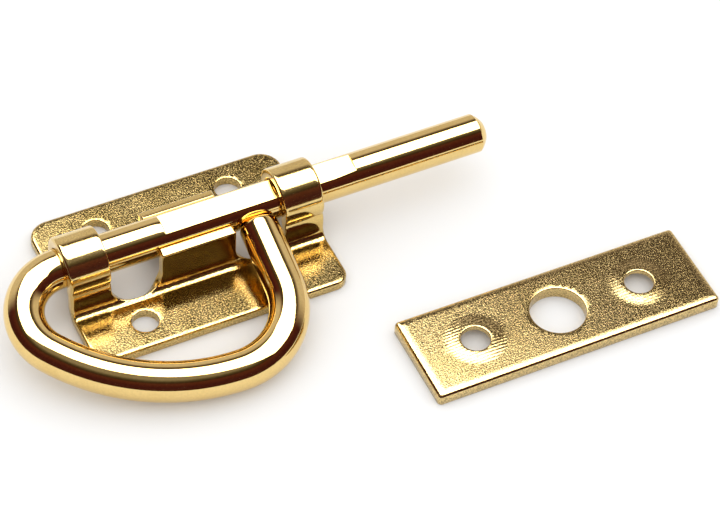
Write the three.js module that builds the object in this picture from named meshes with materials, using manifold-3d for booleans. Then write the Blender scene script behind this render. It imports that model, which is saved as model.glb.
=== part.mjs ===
// Toggle bolt latch: a pressed sheet bracket, a round bolt bar bent into a D handle,
// and a separate strike plate. Millimetres, +Z up, +X along the bolt towards its tip.
// The latch frame has X = 0 at the middle of the bracket, Y = 0 under the bolt's axis and
// Z = 0 on the mounting face. The whole group is then moved so that the middle of its
// bottom is the origin.
import * as THREE from "three";
import { mergeVertices } from "three/addons/utils/BufferGeometryUtils.js";
import Module from "manifold-3d";

// ---------------------------------------------------------------- driving dimensions
const SHEET = 3; // thickness of the bracket's sheet
const BRACKET_LENGTH = 81;
const BRACKET_WIDTH = 57;
const FAR_CORNER = 6.5; // corner radii of the two flanges
const NEAR_CORNER = 4.5;
const BEND_INSIDE = 2.6; // free radius of the bend between web and flange
const KNUCKLE_LENGTH = 12.7;
const NECK_RADIUS = 2.4; // the small reverse bend under each knuckle
const NECK_ANGLE = 20; // degrees of the loop that the neck takes
const AXIS_HEIGHT = 15; // bolt axis above the mounting face
const WALL_RISE = 1.9; // top of the middle walls above the bolt axis

const WINDOW_WIDTH = 16; // where the handle's free end drops in
const WINDOW_BEND = 36; // degrees of each bend, from its flange, that a window leaves whole
const WINDOW_ROUND = 7.2; // radius of a window's round bottom

const SCREW_HOLE = 8; // bracket's screw holes
const HOLE_SPACING_X = 43;
const HOLE_SPACING_Y = 38;

const BAR = 12; // diameter of the bolt bar
const BORE_CLEARANCE = 0.2; // between bar and sheet, on the radius
const TIP_BEYOND = 56.6; // how far the tip stands out of the right knuckle
const TIP_CHAMFER = 2.4;
const FLAT_START = -8.4; // the milled flat along the top of the bar
const FLAT_BEYOND = 12.8; // how far the flat runs out of the right knuckle
const FLAT_DEPTH = 1.05;
const FLAT_RAMP = 7;
const FLAT_END_DEPTH = 0.8;
const SPLIT_GAP = 0.3; // between the bar's front end and the rest of it

const HANDLE_CLEAR = 0.35; // under the handle's lowest point, where it lies down
const BEND_INSET = 12.8; // between the first bend's middle and the bracket's near edge
const HANDLE_BEND = BRACKET_WIDTH / 2 - BEND_INSET; // radii of the handle's centre line
const HANDLE_BOW = 62;
const HANDLE_CORNER = 23;
const BOW_HEADING = 53; // degrees left to turn where the bow starts
const LIMB_LEAN = 2.6;
const BEND_OFF_KNUCKLE = 0.2; // straight bar between the knuckle and the bend
const LIMB_GAP = 0.5; // between the bar and the limb's free end
const LIMB_CHAMFER = 1.5;

const STRIKE_LENGTH = 93;
const STRIKE_WIDTH = 30.4;
const STRIKE_THICKNESS = 4;
const STRIKE_ROUND = 1.3; // rounding of the upper edges
const STRIKE_CORNER = 1.4;
const STRIKE_BORE_PLAY = 2.4; // on the radius, round the bolt
const STRIKE_HOLE = 8.8;
const STRIKE_HOLE_SPACING = 54.4;
const SCREW_LAND = 1.3; // depth of the small holes before their countersinks open below
const SINK_ANGLE = 45; // degrees to each side
const SWELL_RADIUS = 9.6; // the metal that the countersinks push up round the small holes
const SWELL_HEIGHT = 0.3;
const STRIKE_BESIDE = 20.4; // clear floor between the bracket's and the plate's long sides
const STRIKE_AHEAD = 3.8; // from the bracket's end to the plate's near end

// ---------------------------------------------------------------- what follows from them
const rad = THREE.MathUtils.degToRad;
const R = BAR / 2;
const BORE = R + BORE_CLEARANCE;
const LOOP_MID = BORE + SHEET / 2; // middle of the sheet round the bar
const BEND_MID = BEND_INSIDE + SHEET / 2;
const HALF = BRACKET_LENGTH / 2;
const WINDOW_OUT = HALF - KNUCKLE_LENGTH;
const WINDOW_MID = WINDOW_OUT - WINDOW_WIDTH / 2;
const BEND_Y = BORE + SHEET + BEND_INSIDE; // centre of each bend's arcs
const BEND_Z = SHEET + BEND_INSIDE;
const WALL_TOP = AXIS_HEIGHT + WALL_RISE;
const FLAT_END = HALF + FLAT_BEYOND;
const TIP = HALF + TIP_BEYOND;
const SIDES = 36; // round bars and holes
const STEP = 7.5; // degrees for each facet of a bend

const wasm = await Module();
wasm.setup();

/** A closed three.js geometry as a solid. */
function solid(geometry) {
  const bare = geometry.clone();
  bare.deleteAttribute("normal");
  bare.deleteAttribute("uv");
  const merged = mergeVertices(bare, 1e-4);
  const made = new wasm.Manifold(
    new wasm.Mesh({
      numProp: 3,
      vertProperties: new Float32Array(merged.attributes.position.array),
      triVerts: new Uint32Array(merged.index.array),
    }),
  );
  return made;
}

/** A solid as a three.js geometry with flat-shaded normals. */
function geometryOf(made) {
  const mesh = made.getMesh();
  const out = new THREE.BufferGeometry();
  out.setAttribute("position", new THREE.BufferAttribute(mesh.vertProperties, 3));
  out.setIndex(new THREE.BufferAttribute(mesh.triVerts, 1));
  out.computeVertexNormals();
  return out;
}

/** Walks a line of straight runs and bends, and keeps points with their left-hand normals. */
class Walk {
  constructor(x, y, heading) {
    this.x = x;
    this.y = y;
    this.heading = heading;
    this.points = [];
    this.keep();
  }

  keep() {
    const a = rad(this.heading);
    this.points.push({ x: this.x, y: this.y, nx: -Math.sin(a), ny: Math.cos(a) });
  }

  line(length) {
    const a = rad(this.heading);
    this.x += length * Math.cos(a);
    this.y += length * Math.sin(a);
    this.keep();
    return this;
  }

  /** turn > 0 bends to the left, in degrees. */
  bend(radius, turn, step = STEP) {
    const side = Math.sign(turn);
    const from = rad(this.heading);
    const cx = this.x - side * radius * Math.sin(from);
    const cy = this.y + side * radius * Math.cos(from);
    const count = Math.max(2, Math.ceil(Math.abs(turn) / step));
    const start = this.heading;
    for (let i = 1; i <= count; i++) {
      this.heading = start + (turn * i) / count;
      const a = rad(this.heading);
      this.x = cx + side * radius * Math.sin(a);
      this.y = cy - side * radius * Math.cos(a);
      this.keep();
    }
    return this;
  }

  /** The outline of a strip of the given thickness round the walked line. */
  strip(thickness) {
    const side = (s) =>
      this.points.map((p) => new THREE.Vector2(p.x + s * p.nx, p.y + s * p.ny));
    return new THREE.Shape([...side(thickness / 2), ...side(-thickness / 2).reverse()]);
  }
}

/** Extrudes a (Y, Z) outline along X from x0 to x1. */
function alongX(shape, x0, x1) {
  const g = new THREE.ExtrudeGeometry(shape, { depth: x1 - x0, bevelEnabled: false });
  const turn = new THREE.Matrix4().makeBasis(
    new THREE.Vector3(0, 1, 0),
    new THREE.Vector3(0, 0, 1),
    new THREE.Vector3(1, 0, 0),
  );
  g.applyMatrix4(turn);
  g.translate(x0, 0, 0);
  return solid(g);
}

/** Extrudes an (X, Z) outline along Y from y0 to y1. */
function alongY(shape, y0, y1) {
  const g = new THREE.ExtrudeGeometry(shape, { depth: y1 - y0, bevelEnabled: false });
  const turn = new THREE.Matrix4().makeBasis(
    new THREE.Vector3(1, 0, 0),
    new THREE.Vector3(0, 0, 1),
    new THREE.Vector3(0, -1, 0),
  );
  g.applyMatrix4(turn);
  g.translate(0, y1, 0);
  return solid(g);
}

/** Extrudes an (X, Y) outline along Z from z0 to z1. */
function alongZ(shape, z0, z1) {
  const g = new THREE.ExtrudeGeometry(shape, {
    depth: z1 - z0,
    bevelEnabled: false,
    curveSegments: 8,
  });
  g.translate(0, 0, z0);
  return solid(g);
}

/** A rectangle round (cx, cy) with one radius for its -Y corners and one for its +Y corners. */
function roundedRectangle(cx, cy, length, width, nearRadius, farRadius = nearRadius) {
  const x0 = cx - length / 2;
  const x1 = cx + length / 2;
  const y0 = cy - width / 2;
  const y1 = cy + width / 2;
  const shape = new THREE.Shape();
  shape.moveTo(x0 + nearRadius, y0);
  shape.lineTo(x1 - nearRadius, y0);
  shape.absarc(x1 - nearRadius, y0 + nearRadius, nearRadius, -Math.PI / 2, 0, false);
  shape.lineTo(x1, y1 - farRadius);
  shape.absarc(x1 - farRadius, y1 - farRadius, farRadius, 0, Math.PI / 2, false);
  shape.lineTo(x0 + farRadius, y1);
  shape.absarc(x0 + farRadius, y1 - farRadius, farRadius, Math.PI / 2, Math.PI, false);
  shape.lineTo(x0, y0 + nearRadius);
  shape.absarc(x0 + nearRadius, y0 + nearRadius, nearRadius, Math.PI, 1.5 * Math.PI, false);
  return shape;
}

/** A solid of revolution about X from (x, radius) pairs. */
function turned(pairs, sides = SIDES) {
  const profile = pairs.map(([x, r]) => new THREE.Vector2(r, x));
  const g = new THREE.LatheGeometry(profile, sides);
  g.rotateZ(-Math.PI / 2);
  return solid(g);
}

/** A solid of revolution about the upright line at x, from (radius, height) points. */
function raised(profile, x) {
  const g = new THREE.LatheGeometry(profile, SIDES);
  g.rotateX(Math.PI / 2);
  g.translate(x, 0, 0);
  return solid(g);
}

/** A round hole's cutter along Z. */
function drill(x, y, diameter, z0, z1) {
  const g = new THREE.CylinderGeometry(diameter / 2, diameter / 2, z1 - z0, SIDES);
  g.rotateX(Math.PI / 2);
  g.translate(x, y, (z0 + z1) / 2);
  return solid(g);
}

// ---------------------------------------------------------------- bracket
function makeBracket() {
  const flange = BRACKET_WIDTH / 2 - LOOP_MID - BEND_MID;
  const neck = 2 * (LOOP_MID + NECK_RADIUS) * Math.sin(rad(NECK_ANGLE));
  const web = AXIS_HEIGHT - neck - SHEET / 2 - BEND_MID;

  const loop = new Walk(BRACKET_WIDTH / 2, SHEET / 2, 180);
  loop.line(flange).bend(BEND_MID, -90).line(web);
  loop.bend(LOOP_MID, NECK_ANGLE, 5).bend(NECK_RADIUS, -2 * NECK_ANGLE, 5);
  loop.bend(LOOP_MID, 180 + 2 * NECK_ANGLE, 5);
  loop.bend(NECK_RADIUS, -2 * NECK_ANGLE, 5).bend(LOOP_MID, NECK_ANGLE, 5);
  loop.line(web).bend(BEND_MID, -90).line(flange);

  const wall = new Walk(BRACKET_WIDTH / 2, SHEET / 2, 180);
  wall.line(flange).bend(BEND_MID, -90).line(WALL_TOP - SHEET / 2 - BEND_MID);
  const opposite = wall.strip(SHEET).getPoints();
  const mirrored = opposite.map((p) => new THREE.Vector2(-p.x, p.y)).reverse();

  let made = alongX(loop.strip(SHEET), WINDOW_MID, HALF);
  made = made.add(alongX(loop.strip(SHEET), -HALF, -WINDOW_MID));
  made = made.add(alongX(wall.strip(SHEET), -WINDOW_MID, WINDOW_MID));
  made = made.add(alongX(new THREE.Shape(mirrored), -WINDOW_MID, WINDOW_MID));

  const outline = roundedRectangle(
    0, 0, BRACKET_LENGTH, BRACKET_WIDTH, NEAR_CORNER, FAR_CORNER,
  );
  made = made.intersect(alongZ(outline, -1, 3 * AXIS_HEIGHT));

  for (const side of [-1, 1]) {
    for (const across of [-1, 1]) {
      made = made.subtract(windowCut(side * WINDOW_MID, across));
      const x = (side * HOLE_SPACING_X) / 2;
      const y = (across * HOLE_SPACING_Y) / 2;
      made = made.subtract(drill(x, y, SCREW_HOLE, -1, SHEET + 1));
    }
  }
  return made;
}

/**
 * One window's cutter on one side of the bolt. Windows are punched before the sheet is bent,
 * so their round bottoms cut the bends squarely: the prism slopes along the bend's radius.
 */
function windowCut(middle, across) {
  const angle = rad(WINDOW_BEND);
  const lip = BEND_Y - BEND_INSIDE * Math.sin(angle);
  const wide = BRACKET_WIDTH;
  const shape = windowShape(middle, BEND_Z - BEND_INSIDE * Math.cos(angle));
  const flat = across < 0 ? alongY(shape, -wide, 0) : alongY(shape, 0, wide);
  const slope = across / Math.tan(angle);
  // z' = z + slope * (y - across * lip)
  const shear = new THREE.Matrix4().set(
    1, 0, 0, 0, 0, 1, 0, 0, 0, slope, 1, -slope * across * lip, 0, 0, 0, 1,
  );
  return flat.transform(shear.elements);
}

/** A window's (X, Z) outline: straight sides with a round bottom, open at the top. */
function windowShape(middle, floor) {
  const half = WINDOW_WIDTH / 2;
  const top = 4 * AXIS_HEIGHT;
  const z = floor + WINDOW_ROUND;
  const shape = new THREE.Shape();
  shape.moveTo(middle + half, top);
  shape.lineTo(middle - half, top);
  shape.lineTo(middle - half, z);
  const round = 16;
  for (let i = 0; i <= round; i++) {
    const a = Math.PI + (Math.PI * i) / round;
    shape.lineTo(
      middle + (half - WINDOW_ROUND) * Math.sign(Math.round(1e6 * Math.cos(a)))
        + WINDOW_ROUND * Math.cos(a),
      z + WINDOW_ROUND * Math.sin(a),
    );
  }
  return shape;
}

// ---------------------------------------------------------------- bolt bar with its handle
/** The handle's centre line in its own plane: x along the bolt, y towards the grip. */
function handleWalk() {
  const startX = -HALF - BEND_OFF_KNUCKLE;
  const limbFrom = R + LIMB_GAP; // the limb's free end, from the axis
  const limbX = WINDOW_MID;
  const limbHeading = -90 + LIMB_LEAN;
  const build = (heading) => {
    const walk = new Walk(startX, 0, 180);
    walk.bend(HANDLE_BEND, BOW_HEADING - 180, 9);
    walk.bend(HANDLE_BOW, heading - BOW_HEADING, 3.5);
    walk.bend(HANDLE_CORNER, limbHeading - heading, 7);
    const left = (walk.y - limbFrom) / Math.sin(rad(-limbHeading));
    const endX = walk.x + left * Math.cos(rad(limbHeading));
    return { walk, left, endX };
  };
  // The bow is as long as brings the limb over the middle of its window.
  let low = -60;
  let high = BOW_HEADING - 1;
  for (let i = 0; i < 50; i++) {
    const mid = (low + high) / 2;
    if (build(mid).endX > limbX) low = mid;
    else high = mid;
  }
  return build((low + high) / 2);
}

/** The handle's curved part, swept round its centre line in the level plane. */
function handleCurve(walk) {
  class Centre extends THREE.Curve {
    constructor(points) {
      super();
      this.points = points;
    }
    getPoint(t, target = new THREE.Vector3()) {
      const s = t * (this.points.length - 1);
      const i = Math.min(Math.floor(s), this.points.length - 2);
      const a = this.points[i];
      const b = this.points[i + 1];
      return target.set(
        a.x + (b.x - a.x) * (s - i), -(a.y + (b.y - a.y) * (s - i)), 0,
      );
    }
    getPointAt(u, target) {
      return this.getPoint(u, target);
    }
    // The exact direction of the centre line at each of its points.
    getTangentAt(u, target = new THREE.Vector3()) {
      const s = u * (this.points.length - 1);
      const p = this.points[Math.round(s)];
      return target.set(p.ny, p.nx, 0).normalize();
    }
    getSpacedPoints(divisions) {
      return Array.from({ length: divisions + 1 }, (_, i) => this.getPoint(i / divisions));
    }
  }
  const lead = 3; // a straight run inside the bar at each end, to join on
  const first = walk.points[0];
  const last = walk.points[walk.points.length - 1];
  const points = [
    { ...first, x: first.x - lead * first.ny, y: first.y + lead * first.nx },
    ...walk.points,
    { ...last, x: last.x + lead * last.ny, y: last.y - lead * last.nx },
  ];
  const circle = new THREE.Shape();
  for (let i = 0; i < SIDES; i++) {
    const a = (2 * Math.PI * i) / SIDES;
    if (i === 0) circle.moveTo(R, 0);
    else circle.lineTo(R * Math.cos(a), R * Math.sin(a));
  }
  const g = new THREE.ExtrudeGeometry(circle, {
    steps: points.length - 1,
    extrudePath: new Centre(points),
    bevelEnabled: false,
  });
  return solid(g);
}

function makeBar() {
  const { walk, left } = handleWalk();
  const reach = Math.max(...walk.points.map((p) => p.y));
  // The handle lies down until its grip is just clear of the mounting face.
  const tilt = Math.asin((AXIS_HEIGHT - R - HANDLE_CLEAR) / reach);
  const start = -HALF - BEND_OFF_KNUCKLE;
  let made = turned([
    [start, 0],
    [start, R],
    [FLAT_END - SPLIT_GAP, R],
    [FLAT_END - SPLIT_GAP, 0],
  ]);
  made = made.add(handleCurve(walk));

  // The straight limb runs back towards the bar, and its free end is chamfered.
  const limb = new THREE.LatheGeometry(
    [
      new THREE.Vector2(0, 0),
      new THREE.Vector2(R, 0),
      new THREE.Vector2(R, left - LIMB_CHAMFER),
      new THREE.Vector2(R - LIMB_CHAMFER, left),
      new THREE.Vector2(0, left),
    ],
    SIDES,
  );
  limb.rotateZ(rad(-LIMB_LEAN));
  limb.translate(walk.x, -walk.y, 0);
  made = made.add(solid(limb));

  // Tilt the handle down about the bolt's axis, and lift the axis to its height.
  const place = new THREE.Matrix4()
    .makeTranslation(0, 0, AXIS_HEIGHT)
    .multiply(new THREE.Matrix4().makeRotationX(tilt));
  made = made.transform(place.elements);

  // The flat faces straight up while the handle lies down, and shallows towards its end.
  const top = AXIS_HEIGHT + R;
  const cut = new THREE.Shape([
    new THREE.Vector2(FLAT_START, top - FLAT_DEPTH),
    new THREE.Vector2(FLAT_END - FLAT_RAMP, top - FLAT_DEPTH),
    new THREE.Vector2(FLAT_END, top - FLAT_END_DEPTH),
    new THREE.Vector2(FLAT_END, top + R),
    new THREE.Vector2(FLAT_START, top + R),
  ]);
  return made.subtract(alongY(cut, -BAR, BAR));
}

function makeNose() {
  const made = turned([
    [FLAT_END, 0],
    [FLAT_END, R],
    [TIP - TIP_CHAMFER, R],
    [TIP - TIP_CHAMFER * 0.45, R - TIP_CHAMFER * 0.35],
    [TIP, R - TIP_CHAMFER],
    [TIP, 0],
  ]);
  return made.translate([0, 0, AXIS_HEIGHT]);
}

// ---------------------------------------------------------------- strike plate
/** The plate's cross-section along one side, with both upper corners rounded. */
function crownedSection(width) {
  const half = width / 2;
  const shape = new THREE.Shape();
  shape.moveTo(-half, 0);
  shape.lineTo(half, 0);
  shape.lineTo(half, STRIKE_THICKNESS - STRIKE_ROUND);
  const steps = 4;
  for (const side of [1, -1]) {
    for (let i = 0; i <= steps; i++) {
      const part = (i * Math.PI) / 2 / steps;
      const a = side > 0 ? part : Math.PI / 2 + part;
      shape.lineTo(
        side * (half - STRIKE_ROUND) + STRIKE_ROUND * Math.cos(a),
        STRIKE_THICKNESS - STRIKE_ROUND + STRIKE_ROUND * Math.sin(a),
      );
    }
  }
  return shape;
}

function makeStrike() {
  const top = STRIKE_THICKNESS;
  const outline = roundedRectangle(0, 0, STRIKE_LENGTH, STRIKE_WIDTH, STRIKE_CORNER);
  let made = alongZ(outline, 0, top + 1);
  made = made.intersect(alongX(crownedSection(STRIKE_WIDTH), -STRIKE_LENGTH, STRIKE_LENGTH));
  made = made.intersect(alongY(crownedSection(STRIKE_LENGTH), -STRIKE_WIDTH, STRIKE_WIDTH));
  made = made.subtract(drill(0, 0, BAR + 2 * STRIKE_BORE_PLAY, -1, top + 1));
  // The swell round a small hole falls away as half a cosine wave: height = H (1 + cos(pi t)) / 2.
  const hole = STRIKE_HOLE / 2;
  const sunk = top / 2;
  const swell = [new THREE.Vector2(0, sunk), new THREE.Vector2(SWELL_RADIUS, sunk)];
  const rings = 5;
  for (let i = 0; i <= rings; i++) {
    const t = 1 - i / rings;
    const height = (SWELL_HEIGHT * (1 + Math.cos(Math.PI * t))) / 2;
    swell.push(new THREE.Vector2(hole + (SWELL_RADIUS - hole) * t, top + height));
  }
  swell.push(new THREE.Vector2(0, top + SWELL_HEIGHT));
  const sinkTop = top - SCREW_LAND;
  const open = hole + (sinkTop + 1) * Math.tan(rad(SINK_ANGLE));
  const sink = [
    new THREE.Vector2(0, -1),
    new THREE.Vector2(open, -1),
    new THREE.Vector2(hole, sinkTop),
    new THREE.Vector2(hole, top + 1),
    new THREE.Vector2(0, top + 1),
  ];
  for (const side of [-1, 1]) {
    const x = (side * STRIKE_HOLE_SPACING) / 2;
    made = made.add(raised(swell, x));
  }
  for (const side of [-1, 1]) {
    const x = (side * STRIKE_HOLE_SPACING) / 2;
    made = made.subtract(raised(sink, x));
  }
  return made;
}

// ---------------------------------------------------------------- the assembly
function mesh(name, made, colour, roughness) {
  const material = new THREE.MeshStandardMaterial({ color: colour, roughness, metalness: 1 });
  const out = new THREE.Mesh(geometryOf(made), material);
  out.name = name;
  return out;
}

const latch = new THREE.Group();
const bolt = new THREE.Group();
bolt.add(mesh("bolt_nose", makeNose(), 0xd9a441, 0.12));
bolt.add(mesh("bolt_bar", makeBar(), 0xd9a441, 0.12));
latch.add(mesh("bracket", makeBracket(), 0xb98f35, 0.28));
latch.add(bolt);

const strike = mesh("strike_plate", makeStrike(), 0xb0892f, 0.32);
strike.position.set(
  HALF + STRIKE_AHEAD + STRIKE_LENGTH / 2,
  -(BRACKET_WIDTH + STRIKE_WIDTH) / 2 - STRIKE_BESIDE,
  0,
);

const part = new THREE.Group();
part.name = "toggle_bolt_latch";
part.add(latch, strike);
const box = new THREE.Box3().setFromObject(part, true);
part.position.set(
  -(box.min.x + box.max.x) / 2, -(box.min.y + box.max.y) / 2, -box.min.z,
);

export default part;
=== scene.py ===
"""A gold-plated toggle bolt latch: bracket, bolt with its D handle, and strike plate.

Every surface is worked out with numpy from the latch's sizes and placed by the CAD frame.
Sizes are in millimetres, and make_object turns them into metres.
"""

import logging
import math
from collections.abc import Callable
from dataclasses import dataclass, field
from enum import Enum
from typing import Union

import bpy
import numpy as np
from mathutils import Matrix, Vector
from mathutils.geometry import delaunay_2d_cdt


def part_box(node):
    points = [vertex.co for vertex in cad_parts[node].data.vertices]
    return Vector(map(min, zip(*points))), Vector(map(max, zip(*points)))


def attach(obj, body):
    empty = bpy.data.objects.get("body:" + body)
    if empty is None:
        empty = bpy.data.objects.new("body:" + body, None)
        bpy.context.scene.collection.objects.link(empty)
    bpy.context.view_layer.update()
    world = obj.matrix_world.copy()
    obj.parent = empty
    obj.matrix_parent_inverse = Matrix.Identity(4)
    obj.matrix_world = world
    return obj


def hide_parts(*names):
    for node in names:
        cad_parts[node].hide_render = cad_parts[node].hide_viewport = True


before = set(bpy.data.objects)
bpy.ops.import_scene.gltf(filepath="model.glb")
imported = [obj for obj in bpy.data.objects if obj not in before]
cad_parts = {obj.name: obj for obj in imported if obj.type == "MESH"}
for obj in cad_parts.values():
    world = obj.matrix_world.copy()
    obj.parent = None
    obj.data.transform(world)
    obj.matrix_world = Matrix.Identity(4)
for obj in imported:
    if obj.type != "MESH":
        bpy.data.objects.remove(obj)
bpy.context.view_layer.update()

log = logging.getLogger("latch")
MM = 0.001
TINY = 1e-9  # a length that counts as nothing, mm


class Body(Enum):
    """The CAD bodies that the pieces ride on."""

    BRACKET = "bracket"
    FRONT = "bolt_front"
    BOLT = "bolt"
    STRIKE = "strike"


class Slot(Enum):
    """The record's material slots."""

    BOLT = "plated_bolt"
    SHEET = "plated_sheet"
    PLATE = "plated_plate"


# ------------------------------------------------------------------ paths and outlines
class Path:
    """A line of straight runs and round bends in a plane, kept as exact segments."""

    def __init__(self, x: float, y: float, heading: float) -> None:
        """Starts the path.

        Args:
            x: First coordinate of the start.
            y: Second coordinate of the start.
            heading: Direction in degrees, anticlockwise from the first axis.
        """
        self.start = (x, y, math.radians(heading))
        self.segments: list[tuple[float, float]] = []

    def line(self, length: float) -> "Path":
        """Adds a straight run of the given length."""
        if length > TINY:
            self.segments.append((length, 0.0))
        return self

    def bend(self, radius: float, turn: float) -> "Path":
        """Adds a round bend; turn is in degrees and is positive to the left."""
        angle = math.radians(turn)
        self.segments.append((abs(angle) * radius, math.copysign(1.0 / radius, angle)))
        return self

    @property
    def length(self) -> float:
        """The path's whole length."""
        return sum(s for s, _ in self.segments)

    def at(self, s: np.ndarray) -> tuple[np.ndarray, np.ndarray]:
        """Points and headings at arc lengths s.

        On a bend of curvature k that starts at p with heading a, the point at length t is
        p + (sin(a + k t) - sin a, cos a - cos(a + k t)) / k; on a straight run it is
        p + t (cos a, sin a).

        Args:
            s: Arc lengths from the start.

        Returns:
            The points as (n, 2) and the headings in radians as (n,).
        """
        s = np.asarray(s, float)
        out = np.zeros((s.size, 2))
        heads = np.zeros(s.size)
        x, y, a = self.start
        begun = 0.0
        last = len(self.segments) - 1
        for i, (length, k) in enumerate(self.segments):
            here = s >= begun - TINY
            if i < last:
                here &= s < begun + length
            t = s[here] - begun
            if k:
                out[here, 0] = x + (np.sin(a + k * t) - math.sin(a)) / k
                out[here, 1] = y + (math.cos(a) - np.cos(a + k * t)) / k
                x += (math.sin(a + k * length) - math.sin(a)) / k
                y += (math.cos(a) - math.cos(a + k * length)) / k
            else:
                out[here, 0] = x + t * math.cos(a)
                out[here, 1] = y + t * math.sin(a)
                x += length * math.cos(a)
                y += length * math.sin(a)
            heads[here] = a + k * t
            a += k * length
            begun += length
        return out, heads

    def stations(self, run: float, angle: float, ends: bool = True) -> np.ndarray:
        """Spreads stations evenly over each segment.

        Args:
            run: The most that two stations lie apart on a straight run.
            angle: The most that the path turns between two stations, in degrees.
            ends: Whether the path's end is a station too.

        Returns:
            The stations' arc lengths.
        """
        marks = []
        begun = 0.0
        for length, k in self.segments:
            step = min(run, math.radians(angle) / abs(k)) if k else run
            count = max(1, math.ceil(length / step))
            marks.append(begun + length * np.arange(count) / count)
            begun += length
        if ends:
            marks.append(np.array([begun]))
        return np.concatenate(marks)


@dataclass
class Loop:
    """A closed outline with the material on its left, and how its edges are rounded."""

    path: Path
    top_round: float
    under_round: float
    spacing: float = 0.5
    bend_step: float = 6.0
    steps: int = 4  # down the rounded edge

    def rings(self) -> list[np.ndarray]:
        """The outline and its copies inside the material, down the rounded edge.

        The copy for angle p of the rounding lies r (1 - cos p) inside the outline.

        Returns:
            One (n, 2) array for each copy, from the outline inwards.
        """
        s = self.path.stations(self.spacing, self.bend_step, ends=False)
        points, heads = self.path.at(s)
        inward = np.stack([-np.sin(heads), np.cos(heads)], 1)
        radius = max(self.top_round, self.under_round)
        depths = radius * (1 - np.cos(np.radians(np.linspace(0, 90, self.steps + 1))))
        return [points + d * inward for d in depths]


def circle(x: float, y: float, radius: float) -> Path:
    """A hole's outline, walked clockwise so that the material is on its left."""
    return Path(x, y + radius, 0).bend(radius, -360)


def rounded_rectangle(
    x0: float, y0: float, x1: float, y1: float, low: float, high: float
) -> Path:
    """A rectangle walked anticlockwise.

    Args:
        x0: Its low side along the first axis.
        y0: Its low side along the second axis.
        x1: Its high side along the first axis.
        y1: Its high side along the second axis.
        low: Radius of the corners at y0.
        high: Radius of the corners at y1.

    Returns:
        The outline, from the start of its y0 side.
    """
    path = Path(x0 + low, y0, 0).line(x1 - x0 - 2 * low).bend(low, 90)
    path.line(y1 - y0 - low - high).bend(high, 90)
    path.line(x1 - x0 - 2 * high).bend(high, 90)
    return path.line(y1 - y0 - low - high).bend(low, 90)


def inside(points: np.ndarray, outline: np.ndarray) -> np.ndarray:
    """Tells which points lie inside a closed outline.

    A point is inside if a line from it crosses the outline an odd number of times.

    Args:
        points: (n, 2) points.
        outline: (m, 2) corners of the outline.

    Returns:
        (n,) flags.
    """
    hit = np.zeros(len(points), bool)
    for (ax, ay), (bx, by) in zip(outline, np.roll(outline, -1, axis=0)):
        if ay == by:
            continue
        spans = (points[:, 1] > min(ay, by)) & (points[:, 1] <= max(ay, by))
        cross = ax + (points[:, 1] - ay) * (bx - ax) / (by - ay)
        hit ^= spans & (points[:, 0] < cross)
    return hit


def distance(points: np.ndarray, outline: np.ndarray) -> np.ndarray:
    """Distance from each point to a closed outline of short straight edges.

    The nearest point of an edge from a to a + e is a + t e, with t = (p - a).e / e.e held
    between 0 and 1.

    Args:
        points: (n, 2) points.
        outline: (m, 2) corners of the outline.

    Returns:
        (n,) distances.
    """
    batch = 2000  # points at a time, to keep the arrays small
    edge = np.roll(outline, -1, axis=0) - outline
    square = np.maximum((edge ** 2).sum(1), 1e-12)
    best = np.full(len(points), np.inf)
    for start in range(0, len(points), batch):
        part = points[start:start + batch, None, :] - outline[None]
        t = np.clip((part * edge[None]).sum(2) / square[None], 0, 1)
        gap = part - t[..., None] * edge[None]
        best[start:start + batch] = np.sqrt((gap ** 2).sum(2).min(1))
    return best


# ------------------------------------------------------------------ meshes
def make_object(
    name: str, vertices: np.ndarray, faces: list[np.ndarray], sharp: float = 40.0
) -> bpy.types.Object:
    """A mesh object at the origin from vertices in millimetres.

    Args:
        name: The piece's name.
        vertices: (n, 3) array in the latch's frame, already in the part's place.
        faces: Arrays of vertex numbers, one row for each face.
        sharp: Edges that turn more than this many degrees are drawn sharp.

    Returns:
        The linked object.
    """
    mesh = bpy.data.meshes.new(name)
    rows = [row for block in faces for row in np.asarray(block).tolist()]
    mesh.from_pydata((vertices * MM).tolist(), [], rows)
    mesh.validate()
    mesh.shade_smooth()
    mesh.set_sharp_from_angle(angle=math.radians(sharp))
    made = bpy.data.objects.new(name, mesh)
    bpy.context.scene.collection.objects.link(made)
    return made


def tube_faces(rings: int, around: int) -> list[np.ndarray]:
    """Faces of a closed tube of rings, with a fan of triangles to a pole at each end.

    Args:
        rings: How many rings the tube has; vertex r * around + c is column c of ring r.
        around: Vertices in each ring. The two poles come after the rings' vertices.

    Returns:
        The side's quads and the two ends' triangles.
    """
    r, c = np.meshgrid(np.arange(rings - 1), np.arange(around), indexing="ij")
    n = (c + 1) % around
    low, high = r * around, (r + 1) * around
    quads = np.stack([low + c, low + n, high + n, high + c], 2)
    k = np.arange(around)
    nxt = (k + 1) % around
    top = (rings - 1) * around
    first = np.stack([np.full(around, rings * around), nxt, k], 1)
    last = np.stack([np.full(around, rings * around + 1), top + k, top + nxt], 1)
    return [quads.reshape(-1, 4), first, last]


# Turns (n, 2) blank points, (n,) heights above the sheet's middle and whether the face is the
# upper one into (n, 3) millimetres in the part's frame.
Placing = Callable[[np.ndarray, np.ndarray, bool], np.ndarray]


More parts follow.
